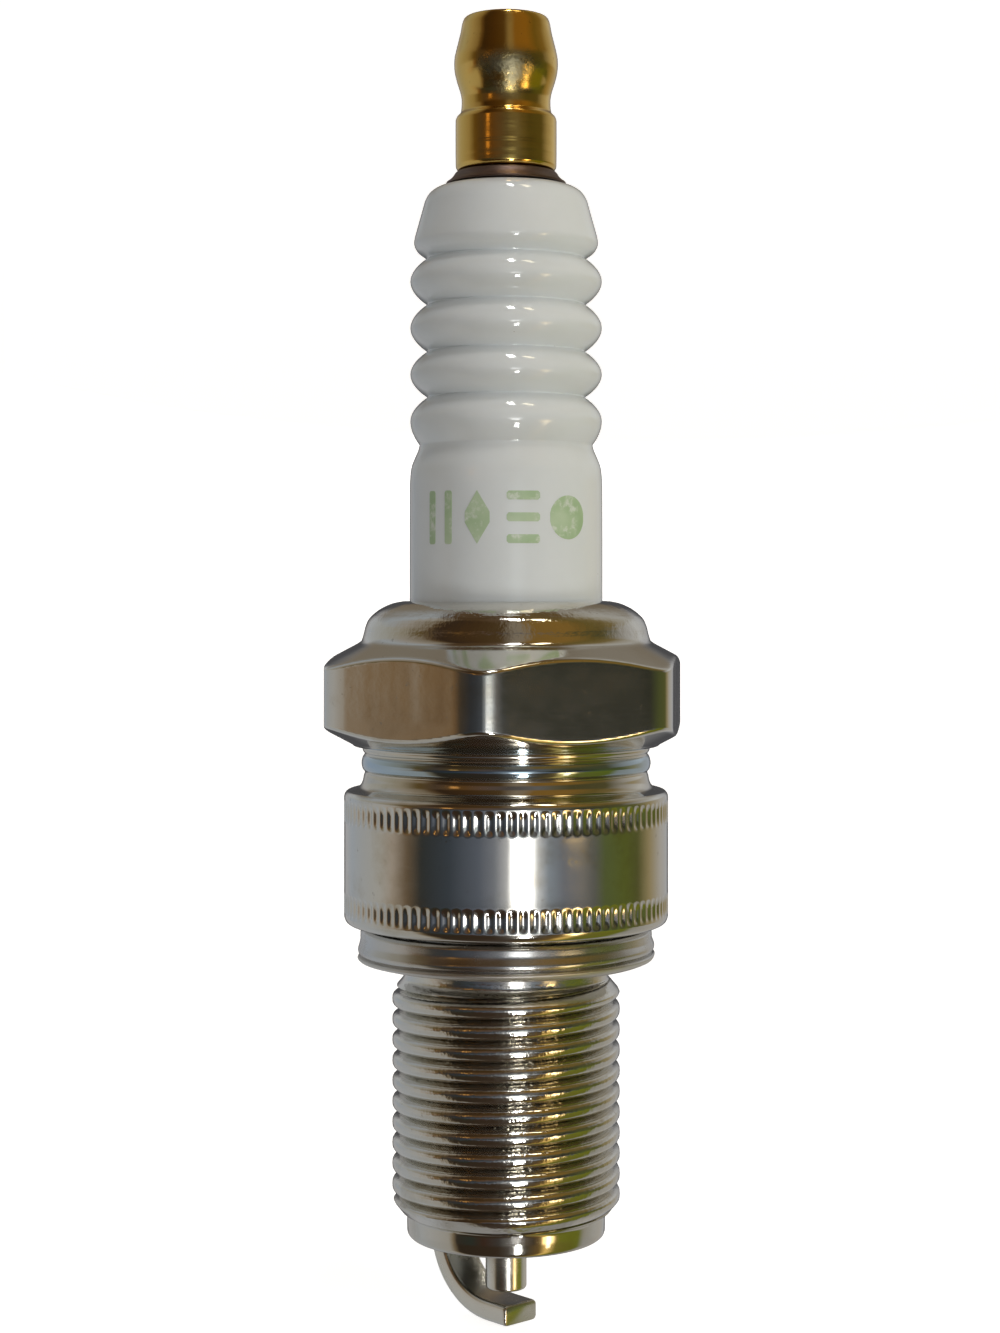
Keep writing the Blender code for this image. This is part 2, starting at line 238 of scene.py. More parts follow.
def ramp(x, a, b):
    """0 at a, 1 at b, smooth between."""
    t = max(0.0, min(1.0, (x - a) / (b - a)))
    return t * t * (3 - 2 * t)


def noise1(x, seed=0.0):
    """A smooth periodic-free wobble in -1..1, the same on each run."""
    return (
        math.sin(x * 1.0 + seed) + 0.6 * math.sin(x * 2.3 + 1.7 * seed + 1.1) + 0.4 * math.sin(x * 5.1 + 0.3 * seed + 2.3)
    ) / 2.0


# =====================================================================================
# materials
# =====================================================================================
class Nodes:
    """Short names for building a material's node tree."""

    def __init__(self, name):
        self.mat = bpy.data.materials.new(name)
        self.mat.use_nodes = True
        self.tree = self.mat.node_tree
        self.bsdf = self.tree.nodes["Principled BSDF"]
        self.coord = self.tree.nodes.new("ShaderNodeTexCoord").outputs["Object"]

    def node(self, kind, **inputs):
        n = self.tree.nodes.new(kind)
        for key, value in inputs.items():
            key = key.replace("_", " ")
            if hasattr(value, "is_output"):
                self.tree.links.new(value, n.inputs[key])
            else:
                n.inputs[key].default_value = value
        return n

    def link(self, a, b):
        self.tree.links.new(a, b)

    def scaled(self, x, y, z, turn=0.0):
        m = self.tree.nodes.new("ShaderNodeMapping")
        m.inputs["Scale"].default_value = (x, y, z)
        m.inputs["Rotation"].default_value = (0, 0, turn)
        self.link(self.coord, m.inputs["Vector"])
        return m.outputs["Vector"]

    def noise(self, vector, scale=1.0, detail=3.0, rough=0.5, distortion=0.0):
        n = self.node("ShaderNodeTexNoise", Vector=vector, Scale=scale, Detail=detail, Roughness=rough)
        n.inputs["Distortion"].default_value = distortion
        return n.outputs["Fac"]

    def spread(self, value, a, b, c=0.0, d=1.0, smooth=True):
        n = self.tree.nodes.new("ShaderNodeMapRange")
        n.interpolation_type = "SMOOTHSTEP" if smooth else "LINEAR"
        self.link(value, n.inputs["Value"])
        n.inputs["From Min"].default_value = a
        n.inputs["From Max"].default_value = b
        n.inputs["To Min"].default_value = c
        n.inputs["To Max"].default_value = d
        return n.outputs["Result"]

    def maths(self, op, a, b=None, clamp=False):
        n = self.tree.nodes.new("ShaderNodeMath")
        n.operation = op
        n.use_clamp = clamp
        for i, v in enumerate((a, b)):
            if v is None:
                continue
            if hasattr(v, "is_output"):
                self.link(v, n.inputs[i])
            else:
                n.inputs[i].default_value = v
        return n.outputs[0]

    def mix(self, fac, a, b, blend="MIX"):
        n = self.tree.nodes.new("ShaderNodeMix")
        n.data_type = "RGBA"
        n.blend_type = blend
        for i, v in ((0, fac), (6, a), (7, b)):
            if hasattr(v, "is_output"):
                self.link(v, n.inputs[i])
            elif i == 0:
                n.inputs[i].default_value = v
            else:
                n.inputs[i].default_value = (*v, 1.0)
        return n.outputs[2]

    def axes(self):
        s = self.node("ShaderNodeSeparateXYZ", Vector=self.coord)
        return s.outputs[0], s.outputs[1], s.outputs[2]

    def bump(self, height, strength, distance, normal=None):
        n = self.node("ShaderNodeBump", Height=height, Strength=strength)
        n.inputs["Distance"].default_value = distance
        if normal is not None:
            self.link(normal, n.inputs["Normal"])
        return n.outputs["Normal"]

    def into(self, socket, value):
        if hasattr(value, "is_output"):
            self.link(value, self.bsdf.inputs[socket])
        elif isinstance(value, tuple):
            self.bsdf.inputs[socket].default_value = (*value, 1.0)
        else:
            self.bsdf.inputs[socket].default_value = value


def metal(name, colour, stain, rough, rough_more, ring=1.0, grain=0.15, stain_at=(0.52, 0.74), wobble=0.05):
    """Turned and plated metal: fine tool rings round the axis, a soft unevenness in the plate,
    faint stains and small dull specks."""
    m = Nodes(name)
    m.into("Metallic", 1.0)
    x, y, z = m.axes()
    cloud = m.noise(m.scaled(1, 1, 1), 240.0, 4.0, 0.6)
    fine = m.noise(m.scaled(1, 1, 1), 1900.0, 3.0, 0.65)
    rings = m.noise(m.scaled(0.06, 0.06, 1.0), 5200.0, 2.0, 0.55)
    stained = m.spread(cloud, stain_at[0], stain_at[1])
    base = m.mix(stained, colour, stain)
    specks = m.spread(fine, 0.66, 0.74, 0.0, 0.35)
    base = m.mix(specks, base, tuple(c * 0.45 for c in stain))
    m.into("Base Color", base)
    r = m.maths("ADD", m.spread(cloud, 0.35, 0.75, rough, rough + rough_more), m.spread(rings, 0.45, 0.8, 0.0, 0.05 * ring))
    r = m.maths("ADD", r, m.maths("MULTIPLY", specks, 0.3), clamp=True)
    m.into("Roughness", r)
    n = m.bump(rings, 0.10 * ring, 0.00002)
    n = m.bump(fine, grain, 0.00001, n)
    n = m.bump(m.noise(m.scaled(1, 1, 1), 420.0, 2.0, 0.5), wobble, 0.00006, n)
    m.into("Normal", n)
    return m


def nickel_plate():
    m = metal("bright_nickel_plate", (0.70, 0.685, 0.64), (0.60, 0.56, 0.48), 0.075, 0.06, ring=0.22, grain=0.04, wobble=0.08)
    x, y, z = m.axes()
    old = m.bsdf.inputs["Normal"].links[0].from_socket
    rough = m.bsdf.inputs["Roughness"].links[0].from_socket
    base = m.bsdf.inputs["Base Color"].links[0].from_socket

    def zone(a, b, c, d):
        return m.maths("MULTIPLY", m.spread(z, a, b), m.spread(z, d, c))

    # the hexagon was drawn through a die before plating: broad soft streaks run down its flats
    flats = zone(0.0148, 0.0154, 0.0184, 0.0190)
    streak = m.noise(m.scaled(1, 1, 0.015), 260.0, 2.0, 0.55)
    n = m.bump(streak, m.maths("MULTIPLY", flats, 0.34), 0.00016, old)
    dents = m.noise(m.scaled(1, 1, 1), 620.0, 3.0, 0.6)
    n = m.bump(dents, m.maths("MULTIPLY", flats, 0.07), 0.00008, n)
    # tool rings stay on the rolled lip
    lip = zone(0.0197, 0.0201, 0.0216, 0.0219)
    turned = m.noise(m.scaled(0.03, 0.03, 1.0), 2100.0, 3.0, 0.6)
    n = m.bump(turned, m.maths("MULTIPLY", lip, 0.42), 0.00006, n)
    pressed = m.noise(m.scaled(1, 1, 1), 2400.0, 2.0, 0.6)
    n = m.bump(pressed, m.maths("MULTIPLY", lip, 0.42), 0.00005, n)
    # the rolled thread is grainier than the turned faces
    thread = zone(-0.0152, -0.0146, -0.0008, -0.0002)
    crumb = m.noise(m.scaled(1, 1, 1), 3000.0, 2.0, 0.55)
    n = m.bump(crumb, m.maths("MULTIPLY", thread, 0.40), 0.00005, n)
    m.into("Normal", n)
    m.into("Roughness", m.maths("ADD", rough, m.maths("MULTIPLY", thread, 0.02)))
    # blue and straw heat tints where the neck was heated to shrink it over the seal
    blue = zone(0.0117, 0.0119, 0.0126, 0.0128)
    straw = zone(0.0104, 0.0110, 0.0130, 0.0134)
    base = m.mix(m.maths("MULTIPLY", straw, 0.45), base, (0.62, 0.56, 0.44))
    base = m.mix(m.maths("MULTIPLY", blue, 0.85), base, (0.44, 0.57, 0.68))
    m.into("Base Color", base)
    return m.mat


def yellow_brass():
    m = metal("yellow_plated_brass", (0.80, 0.55, 0.16), (0.62, 0.37, 0.08), 0.10, 0.10, ring=1.0, grain=0.14, wobble=0.16)
    # where the cap's clip grips, the plating is worn grey: most at the front, in patches elsewhere
    x, y, z = m.axes()
    zone = m.maths("MULTIPLY", m.spread(z, 0.0519, 0.0527), m.spread(z, 0.0556, 0.0543))
    front = m.spread(y, -0.0024, -0.0029)
    patches = m.spread(m.noise(m.scaled(1, 1, 1), 260.0, 2.0, 0.5), 0.52, 0.62, 0.0, 0.7)
    rub = m.noise(m.scaled(1, 1, 1), 800.0, 5.0, 0.7)
    rub = m.maths("MULTIPLY", m.maths("MULTIPLY", zone, m.maths("MAXIMUM", front, patches)), m.spread(rub, 0.30, 0.52))
    base = m.bsdf.inputs["Base Color"].links[0].from_socket
    m.into("Base Color", m.mix(m.maths("MULTIPLY", rub, 0.85), base, (0.25, 0.25, 0.18)))
    rough = m.bsdf.inputs["Roughness"].links[0].from_socket
    m.into("Roughness", m.maths("ADD", rough, m.maths("MULTIPLY", rub, 0.22)))
    scratch = m.noise(m.scaled(1, 1, 1), 2600.0, 3.0, 0.7)
    old = m.bsdf.inputs["Normal"].links[0].from_socket
    n = m.bump(scratch, m.maths("MULTIPLY", rub, 0.9), 0.00005, old)
    # coarse turning marks on the collar
    marks = m.noise(m.scaled(0.02, 0.02, 1.0), 3100.0, 1.0, 0.4)
    low = m.maths("MULTIPLY", m.spread(z, 0.0484, 0.0488), m.spread(z, 0.0513, 0.0509))
    m.into("Normal", m.bump(marks, m.maths("MULTIPLY", low, 0.55), 0.00003, n))
    return m.mat


def dark_stud_metal():
    # a dark brown metal over the whole stud, its flange ring under the nut included
    m = metal("dark_brown_stud_steel", (0.17, 0.120, 0.10), (0.11, 0.078, 0.065), 0.42, 0.16, ring=1.2, grain=0.3)
    return m.mat


def electrode_nickel():
    m = metal("electrode_nickel", (0.80, 0.78, 0.72), (0.64, 0.60, 0.52), 0.20, 0.14, ring=0.5, grain=0.35, wobble=0.2)
    return m.mat


def gasket_metal():
    m = metal("gasket_sheet_steel", (0.64, 0.64, 0.63), (0.50, 0.48, 0.45), 0.20, 0.10, ring=0.8, grain=0.20, wobble=0.20)
    # the lower lip faces down to the pale floor: it is painted paler, a painted reflection of that floor, and made
    # duller
    x, y, z = m.axes()
    dull_and_painted_pale_lip = m.spread(z, 0.00070, 0.00058)
    base = m.bsdf.inputs["Base Color"].links[0].from_socket
    # painted reflection: the lower lip's base colour is lifted towards pale grey
    m.into("Base Color", m.mix(m.maths("MULTIPLY", dull_and_painted_pale_lip, 0.8), base, (0.78, 0.77, 0.75)))
    rough = m.bsdf.inputs["Roughness"].links[0].from_socket
    m.into("Roughness", m.maths("ADD", rough, m.maths("MULTIPLY", dull_and_painted_pale_lip, 0.22)))
    return m.mat


def glazed_ceramic():
    m = Nodes("glazed_alumina")
    cloud = m.noise(m.scaled(1, 1, 1), 160.0, 4.0, 0.55)
    fine = m.noise(m.scaled(1, 1, 1), 2600.0, 3.0, 0.6)
    base = m.mix(m.spread(cloud, 0.35, 0.7), (0.765, 0.805, 0.825), (0.73, 0.77, 0.785))
    pits = m.spread(fine, 0.745, 0.785, 0.0, 0.55)
    base = m.mix(pits, base, (0.34, 0.31, 0.27))
    m.into("Base Color", base)
    m.into("Roughness", m.spread(cloud, 0.3, 0.75, 0.05, 0.10))
    m.into("IOR", 1.56)
    m.into("Subsurface Weight", 0.12)
    m.bsdf.inputs["Subsurface Radius"].default_value = (0.8, 0.75, 0.7)
    m.into("Subsurface Scale", 0.0007)
    m.into("Coat Weight", 0.45)
    m.into("Coat Roughness", 0.03)
    n = m.bump(m.noise(m.scaled(1, 1, 1), 330.0, 3.0, 0.5), 0.16, 0.00008)
    m.into("Normal", n)
    return m.mat


def printed_ink():
    m = Nodes("green_stamp_ink")
    wear = m.noise(m.scaled(1, 1, 1), 1500.0, 4.0, 0.65)
    cloud = m.noise(m.scaled(1, 1, 1), 420.0, 3.0, 0.5)
    base = m.mix(m.spread(cloud, 0.35, 0.7), (0.37, 0.52, 0.30), (0.50, 0.62, 0.43))
    base = m.mix(m.spread(wear, 0.50, 0.70, 0.0, 0.8), base, (0.70, 0.74, 0.68))
    m.into("Base Color", base)
    m.into("Roughness", m.spread(wear, 0.3, 0.7, 0.28, 0.42))
    m.into("Coat Weight", 0.35)
    m.into("Coat Roughness", 0.08)
    m.into("Normal", m.bump(wear, 0.1, 0.00001))
    return m.mat


def plain(name, a, b, scale, rough, metallic=0.0, bump=0.2):
    m = Nodes(name)
    cloud = m.noise(m.scaled(1, 1, 1), scale, 4.0, 0.6)
    m.into("Base Color", m.mix(m.spread(cloud, 0.35, 0.65), a, b))
    m.into("Metallic", metallic)
    m.into("Roughness", m.spread(cloud, 0.3, 0.7, rough, min(1.0, rough + 0.15)))
    m.into("Normal", m.bump(m.noise(m.scaled(1, 1, 1), scale * 6, 3.0, 0.6), bump, 0.00002))
    return m.mat


NICKEL = nickel_plate()
BRASS = yellow_brass()
STUD = dark_stud_metal()
ELECTRODE = electrode_nickel()
GASKET = gasket_metal()
CERAMIC = glazed_ceramic()
INK = printed_ink()

# =====================================================================================
# shell
# =====================================================================================
# the same heights and radii as the frame's shell, in mm
HEX_FLAT = 10.40
HEX_TURN = math.radians(-97.0)      # direction of the corner nearest the front
HEX_ROUND = 11.64
FLUTES = 96                         # round each serrated band
N_BODY = 384
N_FLUTE = FLUTES * 8
N_THREAD = 128


def hex_radius(a):
    """Hexagon with rounded corners."""
    t = (a - HEX_TURN) % (TAU / 6)
    t = abs(t - TAU / 12)
    flat = HEX_FLAT / math.cos(t)
    return smooth_min(flat, HEX_ROUND, 0.50)


def flute(a, depth):
    """How deep the rolled flutes cut at this angle, 0 on a crest."""
    wave = 0.5 - 0.5 * math.cos(a * FLUTES)
    # each flute is rolled a little deeper or shallower than the next
    return depth * wave * (1 + 0.10 * math.sin(7 * a + 1.0) + 0.06 * math.sin(23 * a))


def build_shell():
    g = Grid()
    # --- rolled lip and collar
    lip = rounded(
        [
            (6.10, 21.55),
            (6.08, 21.93, 0.08),
            (6.22, 22.03, 0.12),
            (6.95, 21.90, 0.35),
            (7.75, 21.52, 0.40),
            (8.36, 20.98, 0.45),
            (8.58, 20.45, 0.35),
            (8.66, 20.05, 0.3),
            (8.80, 19.62, 0.22),
        ],
        8,
    )
    lip = densify(lip, 0.28)
    wave = lambda a: 0.018 * noise1(5 * a, 2.0) + 0.010 * noise1(11 * a, 4.0)
    rings = []
    for i, (r, z) in enumerate(lip):
        w = ramp(z, 21.0, 21.8)
        rings.append(g.ring(N_BODY, (lambda a, r=r, w=w: r + wave(a) * w * 0.6), (lambda a, z=z, w=w: z + wave(a) * w * 0.5)))

    # --- hexagon: a turned blank cut by six flats, with soft edges where they meet
    slope = math.tan(math.radians(28))
    z_top, z_low = 19.50, 13.33

    def blank(z):
        up = 8.95 + (z_top - z) / slope
        down = 9.30 + (z - z_low) / slope
        return smooth_min(up, down, 0.3)

    heights = []
    for k in range(15):
        heights.append(z_top - 0.05 - 1.58 * k / 14)
    for k in range(1, 11):
        heights.append(z_top - 1.63 - (z_top - z_low - 1.63 - 1.50) * k / 10)
    for k in range(1, 15):
        heights.append(z_low + 1.50 - 1.44 * k / 14)
    for z in heights:
        env = blank(z)
        rings.append(g.ring(N_BODY, (lambda a, env=env: smooth_min(hex_radius(a), env, 0.16)), z))

    # --- neck: a short land, a heat-swollen bead between two creases, and a cove
    neck = rounded(
        [
            (9.28, 13.28, 0.1),
            (9.00, 13.25, 0.14),
            (8.74, 13.22, 0.20),
            (8.74, 12.96, 0.22),
            (8.57, 12.80, 0.12),
            (8.72, 12.62, 0.16),
            (8.82, 12.24, 0.40),
            (8.74, 11.86, 0.16),
            (8.57, 11.70, 0.12),
            (8.66, 11.48, 0.30),
            (8.72, 11.10, 0.34),
            (8.90, 10.78, 0.30),
            (9.30, 10.62, 0.24),
            (9.68, 10.54, 0.22),
            (9.83, 10.34, 0.16),
            (9.86, 10.16),
        ],
        6,
    )
    for r, z in neck:
        rings.append(g.ring(N_BODY, r, z))

    # --- barrel with its two bands of rolled flutes
    def band_rings(z_a, z_b):
        """From z_a down to z_b: flutes with rounded ends."""
        out = []
        for t, depth in ((0.0, 0.0), (0.05, 0.10), (0.11, 0.36), (0.18, 0.68), (0.27, 0.92), (0.38, 1.0), (0.62, 1.0), (0.73, 0.92), (0.82, 0.68), (0.89, 0.36), (0.95, 0.10), (1.0, 0.0)):
            z = z_a + (z_b - z_a) * t
            out.append(g.ring(N_FLUTE, (lambda a, d=depth: 9.86 - flute(a, 0.086 * d)), z))
        return out

    rings += band_rings(10.12, 8.58)
    for z in (8.45, 7.6, 6.6, 5.6, 4.62):
        rings.append(g.ring(N_BODY, 9.855, z))
    rings += band_rings(4.50, 3.06)
    foot = rounded([(9.86, 3.00), (9.84, 2.86, 0.1), (9.74, 2.62, 0.12), (9.50, 2.50, 0.12), (9.20, 2.50)], 5)
    for r, z in foot:
        rings.append(g.ring(N_BODY, r, z))
    for a, b in zip(rings, rings[1:]):
        g.band(a, b)

    # --- seat face and relief, with fewer points round
    seat = rounded([(7.6, 2.50), (6.40, 2.50, 0.08), (6.20, 2.30, 0.1), (6.20, 1.72)], 4)
    low_rings = [g.ring(N_THREAD, r, z) for r, z in seat]
    g.band(rings[-1], low_rings[0])
    for a, b in zip(low_rings, low_rings[1:]):
        g.band(a, b)

    # --- thread
    root, crest = 6.22, 6.93

    def height(phase):
        # a rolled and plated thread: broad, nearly flat crests that meet in narrow rounded roots
        p = abs(2 * phase - 1)
        return 1 - p ** 3.4

    def limit(z):
        # it starts below the gasket's inner lip at the bottom of its play
        upper = root + (-0.80 - z) * 0.85
        lower = 6.02 + (z + 15.36) * 0.80
        cap = smooth_min(smooth_min(upper, lower, 0.12), 7.3, 0.05)
        return max(6.03 if z < -14.0 else root - 0.01, cap)

    def tooth_radius(phase):
        r = root + (crest - root) * height(phase)
        return lambda z: smooth_min(r, limit(z), 0.05) if z < -13.6 or z > -1.8 else r

    def settle(z):
        # the last turn is drawn together, so that the surface ends in a level ring
        return z if z > -14.9 else -14.9 + (z + 14.9) * 0.5

    phases = [0.0, 0.02, 0.045, 0.08, 0.12, 0.17, 0.24, 0.34, 0.50, 0.66, 0.76, 0.83, 0.88, 0.92, 0.955, 0.98]
    tooth = [(p, tooth_radius(p)) for p in phases]
    bottom = rounded(
        [
            (6.02, -16.18),
            (5.98, -16.34, 0.1),
            (5.84, -16.47, 0.1),
            (5.66, -16.50, 0.08),
            (4.86, -16.50, 0.08),
            (4.72, -16.36, 0.1),
            (4.72, -13.0),
            (4.72, -8.1, 0.2),
            (4.08, -7.3, 0.2),
            (4.08, -5.9, 0.1),
            (5.00, -5.02, 0.1),
            (5.00, 3.5, 0.3),
            (7.52, 6.0, 0.3),
            (7.52, 19.85, 0.2),
            (7.30, 20.60, 0.2),
            (6.80, 21.15, 0.2),
            (6.12, 21.50),
        ],
        4,
    )
    under = [g.ring(N_THREAD, r, z) for r, z in bottom]
    thread_band(g, N_THREAD, low_rings[-1], under[0], 1.25, tooth, 0.366, len(phases) * 14 + 2, settle)
    for a, b in zip(under, under[1:]):
        g.band(a, b)
    g.band(under[-1], rings[0])
    return g.done("shell_skin", NICKEL, sharp=52)


shell = build_shell()
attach(shell, "plug")
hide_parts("shell")

# =====================================================================================
# gasket
# =====================================================================================


def build_gasket():
    g = Grid()
    n = 216
    outer = rounded(
        [
            (7.30, 2.20),
            (8.36, 2.27, 0.1),
            (8.70, 2.24, 0.12),
            (8.86, 2.04, 0.14),
            (8.86, 1.55, 0.24),
            (8.94, 1.30, 0.16),
            (9.02, 1.06, 0.16),
            (8.98, 0.84, 0.10),
            (8.76, 0.71, 0.03),
            (8.98, 0.64, 0.06),
            (9.05, 0.52, 0.08),
            (8.94, 0.33, 0.14),
            (8.34, 0.13, 0.30),
            (7.55, 0.01, 0.20),
            (7.25, 0.0, 0.10),
            (7.08, 0.14, 0.12),
            (7.03, 0.45, 0.1),
            (6.66, 0.92, 0.10),
            (6.64, 1.30, 0.12),
            (6.92, 1.75, 0.14),
            (7.08, 2.08, 0.1),
        ],
        6,
    )
    outer = densify(outer, 0.35)
    rings = []
    for r, z in outer:
        f = ramp(r, 8.2, 9.0)

        def radius(a, r=r, f=f):
            return r + f * (0.022 * noise1(2 * a, 1.3) + 0.014 * noise1(7 * a, 3.1))

        def level(a, z=z, f=f, r=r):
            # the fold wanders a little round the ring; the lower face is flat
            fold = 0.12 * math.cos(a) * ramp(z, 0.1, 0.6) * (1 - ramp(z, 1.2, 1.9))
            return z + (0.026 * noise1(3 * a, 0.4) + 0.014 * noise1(9 * a, 2.2)) * ramp(z, 0.2, 1.0) * f + fold * f

        rings.append(g.ring(n, radius, level))
    for a, b in zip(rings, rings[1:]):
        g.band(a, b)
    g.band(rings[-1], rings[0])
    return g.done("sealing_gasket_skin", GASKET, sharp=50)


gasket = build_gasket()
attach(gasket, "gasket")
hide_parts("sealing_gasket")

# =====================================================================================
# insulator
# =====================================================================================
NOTCHES = (42.87, 40.06, 37.20, 34.42, 31.52)


def insulator_radius(z):
    """Outside radius between the top rib's underside and the plain part."""
    for i, (upper, lower) in enumerate(zip(NOTCHES, NOTCHES[1:])):
        if lower <= z <= upper:
            t = (upper - z) / (upper - lower)
            a = 4.78 if i else 4.76
            b = 4.78 if i < 3 else 5.27
            notch = a if t < 0.5 else b
            rise = math.sin(math.pi * t) ** 0.80
            # rounds the bottom of the notch
            rise = math.sqrt(rise * rise + 0.0036) - 0.06 * (1 - rise)
            return notch + (5.83 - notch) * rise
    return None


def insulator_profile():
    head = rounded(
        [
            (2.50, 47.26),
            (3.55, 47.30, 0.2),
            (4.15, 47.18, 0.35),
            (4.66, 46.86, 0.45),
            (4.94, 46.40, 0.40),
            (5.10, 45.80, 0.40),
            (5.56, 44.16, 0.35),
            (5.63, 43.74, 0.26),
            (5.42, 43.30, 0.22),
            (4.98, 42.98, 0.16),
            (4.80, 42.87),
        ],
        8,
    )
    ribs = []
    for upper, lower in zip(NOTCHES, NOTCHES[1:]):
        for k in range(24):
            # closer together at the notches, where the shape turns quickest
            t = 0.5 - 0.5 * math.cos(math.pi * k / 24)
            z = upper - (upper - lower) * (0.35 * k / 24 + 0.65 * t)
            ribs.append((insulator_radius(z), z))
    rest = rounded(
        [
            (5.27, 31.52),
            (5.34, 31.20, 0.2),
            (5.56, 30.72, 0.3),
            (5.78, 30.16, 0.5),
            (5.86, 29.30, 0.5),
            (5.87, 26.0, 0.3),
            (5.87, 13.90, 0.2),
            (6.90, 13.22, 0.3),
            (7.28, 12.70, 0.2),
            (7.28, 6.40, 0.2),
            (4.80, 3.98, 0.4),
            (4.80, -4.48, 0.2),
            (3.92, -5.34, 0.2),
            (3.80, -6.40, 0.3),
            (2.52, -16.80, 0.2),
            (2.34, -17.16, 0.15),
            (2.06, -17.30, 0.1),
            (1.54, -17.30, 0.05),
            (1.36, -17.10, 0.05),
            (1.33, -16.0),
            (1.33, 0.20, 0.1),
            (2.28, 0.95, 0.1),
            (2.28, 47.05, 0.1),
        ],
        6,
    )
    return densify(head[1:], 0.3) + ribs[1:] + densify(rest, 1.2) + [(2.50, 47.26)]


g = Grid()
g.lathe(160, insulator_profile()[:-1] + [(2.50, 47.26)], close=True)
insulator = g.done("insulator_skin", CERAMIC)
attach(insulator, "plug")
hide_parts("insulator")

# =====================================================================================
# stamped mark: plain green bars and dots, no letters
# =====================================================================================


def on_ceramic(name, shapes, mat):
    """Flat shapes wrapped on the plain part of the ceramic. Each shape is a list of (u, z)
    corners in mm, u being the arc length to the right of the front."""
    bm = bmesh.new()
    r_in, r_out = 5.855, 5.882
    for shape in shapes:
        loop_out, loop_in = [], []
        for u, z in shape:
            a = -0.5 * math.pi + u / 5.87
            loop_out.append(bm.verts.new((r_out * math.cos(a) * MM, r_out * math.sin(a) * MM, z * MM)))
            loop_in.append(bm.verts.new((r_in * math.cos(a) * MM, r_in * math.sin(a) * MM, z * MM)))
        n = len(shape) // 2
        # each shape is a strip: first half of the corners along the top, second half back
        for i in range(n - 1):
            bm.faces.new((loop_out[i], loop_out[i + 1], loop_out[2 * n - 2 - i], loop_out[2 * n - 1 - i]))
            bm.faces.new((loop_in[i + 1], loop_in[i], loop_in[2 * n - 1 - i], loop_in[2 * n - 2 - i]))
        m = len(shape)
        for i in range(m):
            j = (i + 1) % m
            bm.faces.new((loop_out[j], loop_out[i], loop_in[i], loop_in[j]))
    bmesh.ops.recalc_face_normals(bm, faces=bm.faces)
    mesh = bpy.data.meshes.new(name)
    bm.to_mesh(mesh)
    bm.free()
    for poly in mesh.polygons:
        poly.use_smooth = True
    mesh.set_sharp_from_angle(angle=math.radians(40))
    mesh.materials.append(mat)
    obj = bpy.data.objects.new(name, mesh)
    bpy.context.scene.collection.objects.link(obj)
    return obj


def bar(u0, u1, z0, z1, soft=0.12):
    """An upright or flat bar with rounded corners, as a strip."""
    top, low = [], []
    n = max(8, math.ceil((u1 - u0) / 0.12))
    for k in range(n + 1):
        u = u0 + (u1 - u0) * k / n
        d = min(u - u0, u1 - u)
        s = min(soft, 0.5 * (u1 - u0), 0.5 * (z1 - z0))
        cut = s - math.sqrt(max(0.0, s * s - max(0.0, s - d) ** 2)) if d < s else 0.0
        top.append((u, z1 - cut))
        low.append((u, z0 + cut))
    return top + low[::-1]


def disc(u, z, r):
    top, low = [], []
    for k in range(1, 16):
        c = math.cos(math.pi * (1 - k / 16))
        s = math.sin(math.pi * (1 - k / 16))
        top.append((u + r * c, z + r * s))
        low.append((u + r * c, z - r * s))
    return top + low[::-1]


def diamond(u, z, ru, rz):
    top, low = [], []
    for k in range(1, 12):
        t = k / 6 - 1
        top.append((u + ru * t, z + rz * (1.04 - abs(t)) * 0.96))
        low.append((u + ru * t, z - rz * (1.04 - abs(t)) * 0.96))
    return top + low[::-1]


MARK_TOP, MARK_LOW = 28.58, 25.42
MARK_MID = (MARK_TOP + MARK_LOW) / 2
mark = on_ceramic(
    "stamped_mark",
    [
        bar(-5.20, -4.68, MARK_LOW, MARK_TOP),
        bar(-3.92, -3.40, MARK_LOW, MARK_TOP),
        diamond(-1.75, MARK_MID, 0.92, (MARK_TOP - MARK_LOW) / 2),
        bar(0.02, 2.02, MARK_TOP - 0.56, MARK_TOP - 0.04),
        bar(0.02, 2.02, MARK_MID - 0.26, MARK_MID + 0.26),
        bar(0.02, 2.02, MARK_LOW + 0.04, MARK_LOW + 0.56),
        disc(3.95, MARK_MID, 1.30),
    ],
    INK,
)
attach(mark, "plug")

# =====================================================================================
# terminal stud and nut
# =====================================================================================


